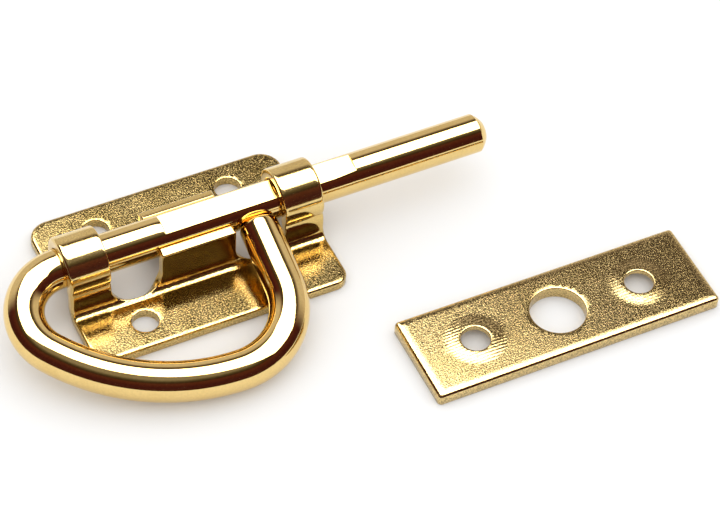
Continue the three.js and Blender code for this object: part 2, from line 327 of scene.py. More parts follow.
@dataclass
class Slab:
    """A flat blank with holes and rounded edges, which a placing function bends into shape."""

    loops: list[Loop]  # the outside first, then the holes
    thickness: float
    clearance: float = 0.3  # between a rounded edge and the nearest filling point, mm

    def build(self, name: str, fill: np.ndarray, place: Placing) -> bpy.types.Object:
        """Fills the blank with triangles and gives it thickness.

        Inside a rounded edge of radius r, at distance d < r from the outline, the face lies
        r - sqrt(r^2 - (r - d)^2) below the full face. The outline's own two rings are joined
        by a band of quads.

        Args:
            name: The piece's name.
            fill: (n, 2) points wanted inside the blank.
            place: Puts the blank's points in their place.

        Returns:
            The linked object.
        """
        rings = [loop.rings() for loop in self.loops]
        flat, tris = self._triangles(rings, self._clear_of_edges(rings, fill))
        top = np.full(len(flat), self.thickness / 2)
        under = np.full(len(flat), -self.thickness / 2)
        for loop, ring in zip(self.loops, rings):
            d = distance(flat, ring[0])
            top -= self._drop(d, loop.top_round)
            under += self._drop(d, loop.under_round)
        n = len(flat)
        vertices = np.concatenate([place(flat, top, True), place(flat, under, False)])
        # An edge that only one triangle uses is on the outline, and gets one quad of wall.
        sides = np.concatenate([tris[:, [0, 1]], tris[:, [1, 2]], tris[:, [2, 0]]])
        low, high = sides.min(1), sides.max(1)
        _, index, times = np.unique(low * n + high, return_index=True, return_counts=True)
        rim = sides[index[times == 1]]
        wall = np.stack([rim[:, 1], rim[:, 0], rim[:, 0] + n, rim[:, 1] + n], 1)
        return make_object(name, vertices, [tris, tris[:, ::-1] + n, wall])

    def _clear_of_edges(self, rings: list[list[np.ndarray]], fill: np.ndarray) -> np.ndarray:
        """Picks the filling points that lie in the sheet and clear of its rounded edges.

        Args:
            rings: Each loop's rings, the outside loop's first.
            fill: (n, 2) points.

        Returns:
            The points kept, in their order.
        """
        keep = inside(fill, rings[0][0])
        for hole in rings[1:]:
            keep &= ~inside(fill, hole[0])
        for loop, ring in zip(self.loops, rings):
            clear = max(loop.top_round, loop.under_round) + self.clearance
            keep &= distance(fill, ring[0]) > clear
        return fill[keep]

    @staticmethod
    def _triangles(
        rings: list[list[np.ndarray]], fill: np.ndarray
    ) -> tuple[np.ndarray, np.ndarray]:
        """Joins the rings and the filling points into triangles.

        Args:
            rings: Each loop's rings, the outside loop's first.
            fill: (n, 2) points between them.

        Returns:
            The blank's (n, 2) points and its anticlockwise (m, 3) triangles.
        """
        points = [fill]
        edges = []
        count = len(fill)
        for copy in (copy for ring in rings for copy in ring):
            k = np.arange(len(copy))
            edges.append(np.stack([count + k, count + (k + 1) % len(copy)], 1))
            points.append(copy)
            count += len(copy)
        found = delaunay_2d_cdt(
            [Vector(p) for p in np.concatenate(points).tolist()],
            np.concatenate(edges).tolist(), [], 0, 1e-7,
        )
        flat = np.array([tuple(p) for p in found[0]])
        tris = np.array(found[2])
        middle = flat[tris].mean(1)
        used = inside(middle, rings[0][0])
        for hole in rings[1:]:
            used &= ~inside(middle, hole[0])
        tris = tris[used]
        a, b, c = (flat[tris[:, i]] for i in range(3))
        turn = (b[:, 0] - a[:, 0]) * (c[:, 1] - a[:, 1]) - (b[:, 1] - a[:, 1]) * (c[:, 0] - a[:, 0])
        tris[turn < 0] = tris[turn < 0][:, ::-1]
        return flat, tris

    @staticmethod
    def _drop(d: np.ndarray, radius: float) -> np.ndarray:
        """How far a rounded edge lies below the full face at distance d from the outline."""
        if radius <= 0:
            return np.zeros_like(d)
        t = np.clip(radius - d, 0, radius)
        return radius - np.sqrt(np.maximum(radius ** 2 - t ** 2, 0))


# ------------------------------------------------------------------ finishes
Value = Union[bpy.types.NodeSocket, float, tuple]  # what a node's input can be given


class Nodes:
    """Makes and joins the nodes of one tree."""

    def __init__(self, tree: bpy.types.NodeTree) -> None:
        """Keeps the tree."""
        self.tree = tree

    def put(self, value: Value, socket: bpy.types.NodeSocket) -> None:
        """Links a socket into an input, or sets the input to a number or colour."""
        if isinstance(value, bpy.types.NodeSocket):
            self.tree.links.new(value, socket)
        else:
            socket.default_value = value

    def new(self, kind: str, **inputs: Value) -> bpy.types.Node:
        """Makes a shader node.

        Args:
            kind: Its type's name without ShaderNode.
            **inputs: What its inputs get, by name, with _ for a space.

        Returns:
            The node.
        """
        node = self.tree.nodes.new("ShaderNode" + kind)
        for name, value in inputs.items():
            self.put(value, node.inputs[name.replace("_", " ")])
        return node

    def mapped(
        self, value: Value, span: tuple[float, float] = (0.0, 1.0),
        low: Value = 0.0, high: Value = 1.0, smooth: bool = False,
    ) -> bpy.types.NodeSocket:
        """Makes a value that goes from low to high as another goes over a span.

        Args:
            value: The other value.
            span: Where the change starts and ends.
            low: The result up to the span's start.
            high: The result past its end.
            smooth: Whether the change is soft at both ends.

        Returns:
            The result's socket.
        """
        node = self.new(
            "MapRange", Value=value, From_Min=span[0], From_Max=span[1], To_Min=low, To_Max=high,
        )
        if smooth:
            node.interpolation_type = "SMOOTHSTEP"
        return node.outputs["Result"]

    def mixed(
        self, factor: bpy.types.NodeSocket, a: Value, b: Value, kind: str = "MIX"
    ) -> bpy.types.NodeSocket:
        """Mixes two colours.

        Args:
            factor: 0 for a and 1 for b.
            a: The first colour, as a socket or three numbers.
            b: The second colour, likewise.
            kind: How they are mixed.

        Returns:
            The result's socket.
        """
        node = self.new("Mix")
        node.data_type = "RGBA"
        node.blend_type = kind
        self.put(factor, node.inputs["Factor"])
        for name, value in (("A", a), ("B", b)):
            self.put((*value, 1) if isinstance(value, tuple) else value, node.inputs[name])
        return node.outputs["Result"]

    def worked_out(self, operation: str, a: Value, b: Value) -> bpy.types.NodeSocket:
        """The result of a Math node's operation on two values."""
        node = self.new("Math")
        node.operation = operation
        for socket, value in zip(node.inputs, (a, b)):
            self.put(value, socket)
        return node.outputs[0]


@dataclass(frozen=True)
class GoldPlating:
    """Bright gold-coloured plating, with the grain of the metal under it and painted shade
    darkening the grain's hollows.
    """

    name: str
    colour: tuple[float, float, float]
    deep: tuple[float, float, float]
    roughness: float
    rougher: float
    grain: float  # size of the orange-peel grain, mm
    grain_height: float  # mm
    fine: float  # size of the fine speckle, mm
    fine_height: float  # mm
    wave: float  # size of slow unevenness, mm
    wave_height: float  # mm
    speck_shade: float  # how bright the darkest specks of painted shade in the grain's hollows are, as a share
    grain_top: float = 1000.0  # the grain and the unevenness fade out at this height, mm
    fade: float = 2.0  # height over which they fade, mm
    left_over: float = 0.25  # the share of them that stays above
    calm_roughness: float = 0.09  # roughness where the grain is gone
    tint_range: tuple[float, float] = (0.45, 0.7)  # of the unevenness
    speck_shade_range: tuple[float, float] = (0.36, 0.62)  # of the grain, over which its hollows get painted shade
    dull_range: tuple[float, float] = (0.4, 0.7)  # of the grain

    def material(self) -> bpy.types.Material:
        """Builds the plating as nodes on Object coordinates."""
        material = bpy.data.materials.new(self.name)
        material.use_nodes = True
        shader = material.node_tree.nodes["Principled BSDF"]
        nodes = Nodes(material.node_tree)
        place = nodes.new("TexCoord").outputs["Object"]

        def noise(size_mm: float, detail: float, rough: float = 0.5) -> bpy.types.NodeSocket:
            """A noise texture whose features are about size_mm across."""
            return nodes.new(
                "TexNoise", Vector=place, Scale=1.0 / (size_mm * MM), Detail=detail,
                Roughness=rough,
            ).outputs["Fac"]

        grain = noise(self.grain, 2.0)
        fine = noise(self.fine, 2.0, 0.6)
        wave = noise(self.wave, 1.0)
        height = nodes.new("SeparateXYZ", Vector=place).outputs["Z"]
        edge = (self.grain_top * MM, (self.grain_top + self.fade) * MM)
        low_down = nodes.mapped(height, edge, 1.0, self.left_over)
        tint = nodes.mixed(nodes.mapped(wave, self.tint_range), self.colour, self.deep)
        # Painted shade: the base colour darkens in the grain's hollows, where the grain bump is
        # lowest, standing in for the shading of its micro-bumps.
        speck_shade_colour = nodes.mapped(grain, self.speck_shade_range, self.speck_shade)
        dull = nodes.mapped(grain, self.dull_range, self.roughness, self.rougher)
        roughness = nodes.mapped(low_down, low=self.calm_roughness, high=dull)
        nodes.put(1.0, shader.inputs["Metallic"])
        nodes.put(nodes.mixed(low_down, tint, speck_shade_colour, "MULTIPLY"), shader.inputs["Base Color"])
        nodes.put(roughness, shader.inputs["Roughness"])
        onto = shader.inputs["Normal"]
        # The bumps are stacked from the finest down: each takes its normal from the next.
        for source, size in (
            (fine, self.fine_height), (grain, self.grain_height), (wave, self.wave_height),
        ):
            bump = nodes.new("Bump", Strength=low_down, Distance=size * MM, Height=source)
            nodes.put(bump.outputs["Normal"], onto)
            onto = bump.inputs["Normal"]
        return material


BOLT_PLATING = GoldPlating(
    name="bolt_plating", colour=(0.83, 0.60, 0.24), deep=(0.79, 0.56, 0.21),
    roughness=0.04, rougher=0.08, grain=0.7, grain_height=0.0035,
    fine=0.3, fine_height=0.0006, wave=9.0, wave_height=0.012, speck_shade=0.93,
)
SHEET_PLATING = GoldPlating(
    name="sheet_plating", colour=(0.86, 0.63, 0.25), deep=(0.76, 0.54, 0.19),
    roughness=0.09, rougher=0.14, grain=0.44, grain_height=0.024,
    fine=0.22, fine_height=0.007, wave=13.0, wave_height=0.10, speck_shade=0.30, grain_top=3.6,
)
PLATE_PLATING = GoldPlating(
    name="plate_plating", colour=(0.87, 0.65, 0.29), deep=(0.82, 0.60, 0.25),
    roughness=0.10, rougher=0.17, grain=0.44, grain_height=0.024,
    fine=0.22, fine_height=0.007, wave=17.0, wave_height=0.05, speck_shade=0.45,
)


def dress(
    piece: bpy.types.Object, finish: GoldPlating, slot: Slot, body: Body, node: str
) -> None:
    """Gives a piece its plating and its body, and hides the CAD node that it replaces.

    Args:
        piece: The finished piece.
        finish: Its plating.
        slot: The record's material slot for it; not used.
        body: The body that it rides on.
        node: The CAD node that it replaces.
    """
    piece.data.materials.append(finish.material())
    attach(piece, body.value)
    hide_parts(node)
    log.info("%s: %d faces on %s", piece.name, len(piece.data.polygons), body.value)


# ------------------------------------------------------------------ the bracket
@dataclass
class Bracket:
    """The pressed sheet: two flanges, two knuckles round the bolt and two middle walls."""

    sheet: float = 3.0
    length: float = 81.0
    width: float = 57.0
    far_corner: float = 6.5
    near_corner: float = 4.5
    bend_inside: float = 2.6
    knuckle: float = 12.7
    neck_radius: float = 2.4
    neck_angle: float = 20.0
    bore: float = 6.2
    axis_height: float = 15.0
    wall_rise: float = 1.9
    window_width: float = 16.0
    window_bend: float = 36.0
    window_round: float = 7.2
    tab_corner: float = 0.8
    hole: float = 4.0
    holes_x: float = 21.5
    holes_y: float = 19.0
    flange_round: float = 0.9
    cut_round: float = 0.45
    slant: float = 0.16  # slope of the middle walls' tops, down towards their flanges
    slant_depth: float = 1.5
    lean: float = 0.012  # rise of the near flange's top for each mm towards its edge
    under_round: float = 0.3
    hole_round: float = 0.3
    hole_under_round: float = 0.15
    row_step: float = 0.5  # between filling points across the bolt
    column_step: float = 1.4  # between filling points along the bolt
    middle: Vector = field(init=False)

    def __post_init__(self) -> None:
        """Works out where the bracket's middle lies from its CAD node."""
        low, high = (Vector(c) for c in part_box("bracket"))
        self.middle = (low + high) / 2 / MM
        self.middle.z = 0

    @property
    def loop_middle(self) -> float:
        """Radius of the middle of the sheet round the bolt."""
        return self.bore + self.sheet / 2

    @property
    def bend_middle(self) -> float:
        """Radius of the middle of the sheet in the flange bends."""
        return self.bend_inside + self.sheet / 2

    @property
    def flange(self) -> float:
        """Flat length of each flange, across the bolt."""
        return self.width / 2 - self.loop_middle - self.bend_middle

    def knuckle_profile(self) -> Path:
        """The sheet's middle line through a knuckle, from the far edge to the near edge."""
        reach = 2 * (self.loop_middle + self.neck_radius) * math.sin(math.radians(self.neck_angle))
        web = self.axis_height - reach - self.sheet / 2 - self.bend_middle
        turn = self.neck_angle
        path = Path(self.width / 2, self.sheet / 2, 180)
        path.line(self.flange).bend(self.bend_middle, -90).line(web)
        path.bend(self.loop_middle, turn).bend(self.neck_radius, -2 * turn)
        path.bend(self.loop_middle, 180 + 2 * turn)
        path.bend(self.neck_radius, -2 * turn).bend(self.loop_middle, turn)
        return path.line(web).bend(self.bend_middle, -90).line(self.flange)

    def wall_profile(self) -> Path:
        """The sheet's middle line through a middle wall, from the far edge upwards."""
        rise = self.axis_height + self.wall_rise - self.sheet / 2 - self.bend_middle
        path = Path(self.width / 2, self.sheet / 2, 180)
        return path.line(self.flange).bend(self.bend_middle, -90).line(rise)

    def cut_out(self, total: float) -> Path:
        """The opening that holds both windows of each side and frees the middle walls.

        Args:
            total: The blank's width, which is the knuckle profile's length.

        Returns:
            The outline, walked with the sheet on its left.
        """
        outer = self.length / 2 - self.knuckle
        inner = outer - self.window_width
        floor = self.flange + self.bend_middle * math.radians(self.window_bend)
        tab = self.wall_profile().length
        r = self.window_round
        c = self.tab_corner
        bottom = self.window_width - 2 * r
        side = tab - floor - r - c
        path = Path(outer, floor + r, 90)
        path.line(total - 2 * floor - 2 * r)
        for _ in range(2):
            path.bend(r, 90).line(bottom).bend(r, 90).line(side)
            path.bend(c, -90).line(2 * inner - 2 * c).bend(c, -90)
            path.line(side).bend(r, 90).line(bottom).bend(r, 90)
            path.line(total - 2 * floor - 2 * r)
        path.segments.pop()
        # Walked this way the opening is on the left, so the walk is turned round.
        return reversed_path(path)

    def build(self) -> None:
        """Builds the bracket from one flat blank, bent by its two profiles."""
        knuckle = self.knuckle_profile()
        wall = self.wall_profile()
        total = knuckle.length
        half = self.length / 2
        loops = [
            Loop(
                rounded_rectangle(-half, 0, half, total, self.far_corner, self.near_corner),
                self.flange_round, self.under_round,
            ),
            Loop(self.cut_out(total), self.cut_round, self.cut_round, spacing=0.45, bend_step=4),
        ]
        hole_s = self.width / 2 - self.holes_y
        for x in (-self.holes_x, self.holes_x):
            for s in (hole_s, total - hole_s):
                edge = circle(x, s, self.hole)
                loops.append(Loop(edge, self.hole_round, self.hole_under_round))
        rows = np.linspace(0, total, int(total / self.row_step))
        columns = np.linspace(-half, half, int(self.length / self.column_step))
        fill = np.stack(np.meshgrid(columns, rows), 2).reshape(-1, 2)
        switch = half - self.knuckle - self.window_width / 2

        def place(flat: np.ndarray, height: np.ndarray, upper: bool) -> np.ndarray:
            """Bends the blank: p + h n, with n the profile's outer normal.

            Args:
                flat: (n, 2) points: along the bolt, and along the profile.
                height: (n,) heights h above the sheet's middle.
                upper: Whether these are the upper face's points.

            Returns:
                (n, 3) points in the part's frame.
            """
            s = np.clip(flat[:, 1], 0, total)
            mirrored = s > total / 2
            point, heading = knuckle.at(s)
            sine, cosine = np.sin(heading), np.cos(heading)
            in_wall = np.abs(flat[:, 0]) < switch
            from_edge = np.where(mirrored, total - s, s)
            w_point, w_heading = wall.at(from_edge)
            flip = np.where(mirrored, -1.0, 1.0)
            y = np.where(in_wall, w_point[:, 0] * flip, point[:, 0])
            top = np.clip((from_edge - wall.length) / self.slant_depth + 1, 0, 1)
            slant = self.slant * height * top
            if upper:
                # The near flange's top face rises a little towards its edge.
                height = height + self.lean * np.clip(s - total + self.flange, 0, None)
            z = np.where(in_wall, w_point[:, 1] - slant, point[:, 1])
            ny = np.where(in_wall, np.sin(w_heading) * flip, sine)
            nz = np.where(in_wall, -np.cos(w_heading), -cosine)
            return np.stack([
                flat[:, 0] + self.middle.x, y + ny * height + self.middle.y, z + nz * height,
            ], 1)

        piece = Slab(loops, self.sheet).build("bracket_sheet", fill, place)
        dress(piece, SHEET_PLATING, Slot.SHEET, Body.BRACKET, "bracket")


def reversed_path(path: Path) -> Path:
    """Turns a path round.

    Args:
        path: The path as it was walked.

    Returns:
        The same line, walked from its end to its start.
    """
    end, heading = path.at(np.array([path.length]))
    back = Path(float(end[0, 0]), float(end[0, 1]), math.degrees(float(heading[0])) + 180)
    back.segments = [(length, -k) for length, k in reversed(path.segments)]
    return back


# ------------------------------------------------------------------ the bolt and its handle
@dataclass
class Bolt:
    """The round bar: its plain tip, the flat along its top and the D handle."""

    bracket: Bracket
    tip_chamfer: float = 2.4
    flat_start: float = -8.4
    flat_depth: float = 1.05
    flat_end_depth: float = 0.8
    flat_ramp: float = 7.0
    flat_turn: float = 5.0  # degrees that the flat faces towards the handle
    tilt: float = 10.0
    bend: float = 15.7
    bow: float = 62.0
    corner: float = 23.0
    bow_heading: float = 53.0
    limb_lean: float = 2.6
    off_knuckle: float = 0.2
    limb_gap: float = 0.5
    limb_round: float = 1.5
    step_round: float = 0.35
    chamfer_start: float = 0.62  # the chamfer's slope inwards where it begins
    around: int = 112
    top_columns: int = 14
    run_step: float = 2.5  # between rings on straight runs, mm
    bend_step: float = 3.0  # between rings on bends, degrees
    crisp: float = 28.0  # edges that turn more than this are drawn sharp, degrees

    def __post_init__(self) -> None:
        """Takes the bar's radius, its axis and its tip from the CAD node of its front end."""
        low, high = (Vector(c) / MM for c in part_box("bolt_nose"))
        self.radius = (high.y - low.y) / 2
        self.axis = Vector((self.bracket.middle.x, (low.y + high.y) / 2, (low.z + high.z) / 2))
        self.flat_end = low.x - self.axis.x
        self.tip = high.x - self.axis.x

    def handle_path(self) -> Path:
        """The centre line in the handle's plane, from the tip end back to the free end.

        The bow ends at the heading that brings the free end over the middle of its window;
        the heading is found by halving its range 50 times.

        Returns:
            The path: x along the bolt, y towards the grip.
        """
        bracket = self.bracket
        start = -bracket.length / 2 - self.off_knuckle
        window = bracket.length / 2 - bracket.knuckle - bracket.window_width / 2
        limb = -90 + self.limb_lean
        free = self.radius + self.limb_gap

        def walk(heading: float) -> tuple[Path, float, float]:
            """Walks the handle with a bow that ends at a heading.

            Args:
                heading: The bow's last heading, in degrees.

            Returns:
                The curved part, the limb's length and where the limb ends along the bolt.
            """
            path = Path(self.flat_end, 0, 180).line(self.flat_end - start)
            path.bend(self.bend, self.bow_heading - 180)
            path.bend(self.bow, heading - self.bow_heading)
            path.bend(self.corner, limb - heading)
            end, _ = path.at(np.array([path.length]))
            left = (end[0, 1] - free) / math.sin(math.radians(-limb))
            return path, left, end[0, 0] + left * math.cos(math.radians(limb))

        low, high = -60.0, self.bow_heading - 1
        for _ in range(50):
            middle = (low + high) / 2
            if walk(middle)[2] > window:
                low = middle
            else:
                high = middle
        path, left, _ = walk((low + high) / 2)
        return path.line(left)

    def ring_angles(self, depth: np.ndarray) -> np.ndarray:
        """Angles of each ring's columns, from the middle of the flat, in radians.

        The first columns spread over the flat, whose half-angle at depth d is
        acos(1 - d / R), and the others over the rest of the circle.

        Args:
            depth: (n,) depth of the flat at each ring.

        Returns:
            (n, columns) angles.
        """
        edge = np.arccos(1 - depth / self.radius)[:, None]
        t = np.linspace(-1, 1, self.top_columns)[None]
        rest = self.around - self.top_columns
        u = (np.arange(1, rest + 1) / (rest + 1))[None]
        return np.concatenate([edge * t, edge + (2 * np.pi - 2 * edge) * u], 1)

    def ring_stations(self, path: Path, flat_length: float) -> np.ndarray:
        """Where the bar's rings lie along its path.

        They crowd where the flat steps up to the full round, and where the limb's end is
        rounded off: a ring for each angle p of a rounding r lies r (1 - sin p) from its edge.

        Args:
            path: The bar's centre line, from the tip end.
            flat_length: Length of the flat along it.

        Returns:
            The arc lengths, in order.
        """
        marks = path.stations(self.run_step, self.bend_step)
        marks = marks[np.abs(marks - flat_length) > self.step_round + 0.1]
        marks = marks[marks < path.length - self.limb_round]
        step = self.step_round * (1 - np.sin(np.radians(np.linspace(0, 90, 6))))
        seam = 0.01  # on each side of the flat's end
        extra = np.concatenate(
            [[self.flat_ramp, flat_length - seam], flat_length + seam + step]
        )
        ending = self.limb_round * (1 - np.sin(np.radians(np.linspace(0, 90, 7))))
        return np.unique(np.concatenate([marks, extra, path.length - ending]))

    def build_bar(self) -> None:
        """Sweeps the bar round its centre line, and cuts the flat.

        A ring's point at angle p is c + R (sin p n + cos p b), with n across the path and b
        at a right angle to both; on the flat, the b part is held at R - depth.
        """
        path = self.handle_path()
        flat_length = self.flat_end - self.flat_start
        s = self.ring_stations(path, flat_length)
        plane, heads = path.at(s)
        depth = np.where(
            s < self.flat_ramp,
            self.flat_end_depth + (self.flat_depth - self.flat_end_depth) * s / self.flat_ramp,
            self.flat_depth,
        )
        cut = s < flat_length
        p = self.ring_angles(depth)
        lift = self.radius * np.cos(p)
        hold = np.where(cut, self.radius - depth, self.radius)[:, None]
        lift = np.minimum(lift, hold)
        across = self.radius * np.sin(p)
        # The full round's edge above the flat's first end is rounded too.
        past = np.clip(flat_length + self.step_round - s, 0, self.step_round)
        sunk = self.step_round - np.sqrt(self.step_round ** 2 - past ** 2)
        above = (~cut)[:, None] & (lift > self.radius - self.flat_depth)
        ease = np.where(above, 1 - sunk[:, None] / self.radius, 1.0)
        lift = lift * ease
        across = across * ease
        into = np.clip(s - (path.length - self.limb_round), 0, self.limb_round)
        shrink = self.limb_round - np.sqrt(np.maximum(self.limb_round ** 2 - into ** 2, 0))
        scale = (1 - shrink / self.radius)[:, None]
        # The flat's middle is turned from the handle plane's normal by the tilt and its own turn.
        turn = math.radians(self.tilt - self.flat_turn)
        n_part = (across * math.cos(turn) + lift * math.sin(turn)) * scale
        b_part = (lift * math.cos(turn) - across * math.sin(turn)) * scale
        x = plane[:, :1] - np.sin(heads)[:, None] * n_part
        y = -(plane[:, 1:] + np.cos(heads)[:, None] * n_part)
        rings = self._tilted(np.stack([x, y, b_part], 2).reshape(-1, 3))
        poles = np.array([
            [plane[0, 0], -plane[0, 1], 0.0], [plane[-1, 0], -plane[-1, 1], 0.0],
        ])
        vertices = np.concatenate([rings, self._tilted(poles)])
        faces = tube_faces(len(s), self.around)
        piece = make_object("bolt_and_handle", vertices, faces, self.crisp)
        face_out(piece)
        dress(piece, BOLT_PLATING, Slot.BOLT, Body.BOLT, "bolt_bar")

    def _tilted(self, points: np.ndarray) -> np.ndarray:
        """Turns points of the handle's plane about the bolt's axis and puts them in place.

        Args:
            points: (n, 3) points, with the bolt's axis as their first axis.

        Returns:
            (n, 3) points in the part's frame.
        """
        a = math.radians(self.tilt)
        y = points[:, 1] * math.cos(a) - points[:, 2] * math.sin(a)
        z = points[:, 1] * math.sin(a) + points[:, 2] * math.cos(a)
        return np.stack([points[:, 0], y, z], 1) + np.array(self.axis)

    def build_nose(self) -> None:
        """Turns the plain front end, whose tip has a slightly bulged chamfer.

        At the share u of the chamfer's length c, the radius is R - c (k u + (1 - k) u^2):
        the slope k that it starts with makes the crisp edge where the chamfer begins.
        """
        along = np.linspace(0, 1, 12)
        inwards = self.chamfer_start * along + (1 - self.chamfer_start) * along ** 2
        plain = np.linspace(self.flat_end, self.tip - self.tip_chamfer, 9)[:-1]
        x = np.concatenate([plain, self.tip - self.tip_chamfer * (1 - along)])
        r = np.concatenate([
            np.full(len(plain), self.radius), self.radius - self.tip_chamfer * inwards,
        ])
        p = 2 * np.pi * np.arange(self.around) / self.around
        rings = np.stack([
            np.repeat(x, self.around),
            np.outer(r, np.sin(p)).ravel(),
            np.outer(r, np.cos(p)).ravel(),
        ], 1)
        poles = np.array([[x[0], 0, 0], [x[-1], 0, 0]])
        vertices = np.concatenate([rings, poles]) + np.array(self.axis)
        piece = make_object("bolt_tip", vertices, tube_faces(len(x), self.around), self.crisp)
        face_out(piece)
        dress(piece, BOLT_PLATING, Slot.BOLT, Body.FRONT, "bolt_nose")

    def build(self) -> None:
        """Builds both pieces of the bolt."""
        self.build_bar()
        self.build_nose()


def face_out(piece: bpy.types.Object) -> None:
    """Turns a closed mesh's faces round if its signed volume is below zero.

    The volume's sign is that of the sum of a . (b x c) over its triangles.

    Args:
        piece: The object with the mesh.
    """
    mesh = piece.data
    mesh.calc_loop_triangles()
    n = len(mesh.loop_triangles)
    tris = np.empty(n * 3, int)
    mesh.loop_triangles.foreach_get("vertices", tris)
    co = np.empty(len(mesh.vertices) * 3)
    mesh.vertices.foreach_get("co", co)
    co = co.reshape(-1, 3)
    co = co - co.mean(0)
    a, b, c = (co[tris.reshape(-1, 3)[:, i]] for i in range(3))
    if (a * np.cross(b, c)).sum() < 0:
        mesh.flip_normals()


# ------------------------------------------------------------------ the strike plate
@dataclass
class StrikePlate:
    """The flat plate that takes the bolt's end, with two countersunk screw holes."""

    thickness: float = 4.0
    corner: float = 1.4
    edge_round: float = 1.3
    bore: float = 8.4
    hole: float = 4.4
    hole_spacing: float = 54.4
    land: float = 1.3
    swell_radius: float = 9.6
    swell: float = 0.3
    swell_least: float = 0.6  # the share of the swell that doesn't follow its strength
    ripple_pitch: float = 1.05
    ripple_height: float = 0.016
    ripple_power: float = 0.7  # under 1 makes the ripples fade later
    strengths: tuple[float, float] = (1.0, 0.35)  # of the left and the right hole's swell
    twist: float = 0.0003  # the top face's change of slope across for each mm along
    under_round: float = 0.2
    bore_round: float = 0.35
    bore_under_round: float = 0.15
    hole_round: float = 0.3
    fine_step: float = 0.55  # between filling points along the plate at the swells
    columns: int = 60
    rows: int = 24

    def __post_init__(self) -> None:
        """Takes the plate's middle, length and width from its CAD node."""
        low, high = (Vector(c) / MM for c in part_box("strike_plate"))
        self.middle = (low + high) / 2
        self.length = high.x - low.x
        self.width = high.y - low.y
        self.holes = (-self.hole_spacing / 2, self.hole_spacing / 2)
        self.open_radius = self.hole + self.thickness - self.land

    def fill(self) -> np.ndarray:
        """The blank's filling points: a wide grid, and a fine one at each swell.

        Returns:
            (n, 2) points.
        """
        grid = np.stack(np.meshgrid(
            np.linspace(-self.length / 2, self.length / 2, self.columns),
            np.linspace(-self.width / 2, self.width / 2, self.rows),
        ), 2).reshape(-1, 2)
        swells = np.stack(np.meshgrid(
            np.arange(-self.swell_radius, self.swell_radius, self.fine_step),
            np.arange(-self.swell_radius, self.swell_radius, self.ripple_pitch / 8),
        ), 2).reshape(-1, 2)
        reach = np.hypot(swells[:, 0], swells[:, 1])
        # Two rings close together make the countersink's edge crisp.
        clear = np.abs(reach - self.open_radius) > 0.12
        swells = swells[(reach < self.swell_radius) & clear]
        a = np.radians(np.arange(0, 360, 5.0))
        keep = np.ones(len(grid), bool)
        fills = []
        for x in self.holes:
            for r in (self.open_radius, self.open_radius + 0.02):
                fills.append(np.stack([x + r * np.cos(a), r * np.sin(a)], 1))
            fills.append(swells + [x, 0])
            keep &= np.hypot(grid[:, 0] - x, grid[:, 1]) > self.swell_radius + 0.5
        return np.concatenate([grid[keep]] + fills)

    def build(self) -> None:
        """Builds the plate.

        Round a screw hole the top face swells by H (1 + cos(pi t)) / 2, with t from 0 at
        the hole to 1 at the swell's edge, and carries fine ripples along the plate whose
        height is A cos(2 pi y / pitch) sin(pi t). Below, a countersink opens at 45 degrees.
        """
        half_l, half_w = self.length / 2, self.width / 2
        outside = rounded_rectangle(-half_l, -half_w, half_l, half_w, self.corner, self.corner)
        loops = [
            Loop(outside, self.edge_round, self.under_round, bend_step=10),
            Loop(circle(0, 0, self.bore), self.bore_round, self.bore_under_round, bend_step=3),
        ]
        for x in self.holes:
            loops.append(Loop(circle(x, 0, self.hole), self.hole_round, 0.0, bend_step=4))

        def place(flat: np.ndarray, height: np.ndarray, upper: bool) -> np.ndarray:
            """Adds the twist, swells and ripples on top, and the countersinks below.

            Args:
                flat: (n, 2) points along and across the plate.
                height: (n,) heights above the plate's middle.
                upper: Whether these are the upper face's points.

            Returns:
                (n, 3) points in the part's frame.
            """
            z = height + self.thickness / 2
            if upper:
                z = z - self.twist * flat[:, 0] * flat[:, 1]
            for x, strength in zip(self.holes, self.strengths):
                r = np.hypot(flat[:, 0] - x, flat[:, 1])
                if not upper:
                    z = z + np.clip(self.open_radius - r, 0, self.thickness - self.land)
                    continue
                t = np.clip((r - self.hole) / (self.swell_radius - self.hole), 0, 1)
                share = self.swell_least + (1 - self.swell_least) * strength
                z = z + self.swell * share * (1 + np.cos(np.pi * t)) / 2
                wave = np.cos(2 * np.pi * flat[:, 1] / self.ripple_pitch)
                fade = np.sin(np.pi * t) ** self.ripple_power
                z = z + strength * self.ripple_height * wave * fade
            return np.stack([flat[:, 0] + self.middle.x, flat[:, 1] + self.middle.y, z], 1)

        piece = Slab(loops, self.thickness).build("strike_plate_bar", self.fill(), place)
        dress(piece, PLATE_PLATING, Slot.PLATE, Body.STRIKE, "strike_plate")


# ------------------------------------------------------------------ the studio
@dataclass(frozen=True)
class Softbox:
    """The overhead light's edges on a ceiling one unit up, square to the view."""

    left: float = -0.64
    right: float = 1.0
    near: float = -0.14
    far: float = 0.68
    skew: float = 0.38  # slope of its far edge
    blur: float = 0.05
    strength: float = 7.0


@dataclass(frozen=True)
class Sweep:
    """The pale backdrop behind the part, and where it fades to the sides and upwards."""

    side: tuple[float, float] = (0.2, 0.55)
    rise: tuple[float, float] = (0.76, 0.52)
    colour: tuple[float, float, float] = (0.74, 0.70, 0.68)


SOFTBOX = Softbox()
SWEEP = Sweep()
ROOM = (  # the dark room's colour, from the horizon to straight up
    (0.0, (0.07, 0.022, 0.018)),
    (0.25, (0.055, 0.011, 0.015)),
    (0.43, (0.075, 0.016, 0.015)),
    (0.6, (0.10, 0.028, 0.020)),
    (0.7, (0.05, 0.028, 0.016)),
    (0.78, (0.10, 0.085, 0.06)),
    (0.88, (0.30, 0.28, 0.27)),
)
EVEN_LIGHT = 1.35  # what matt surfaces get from every side


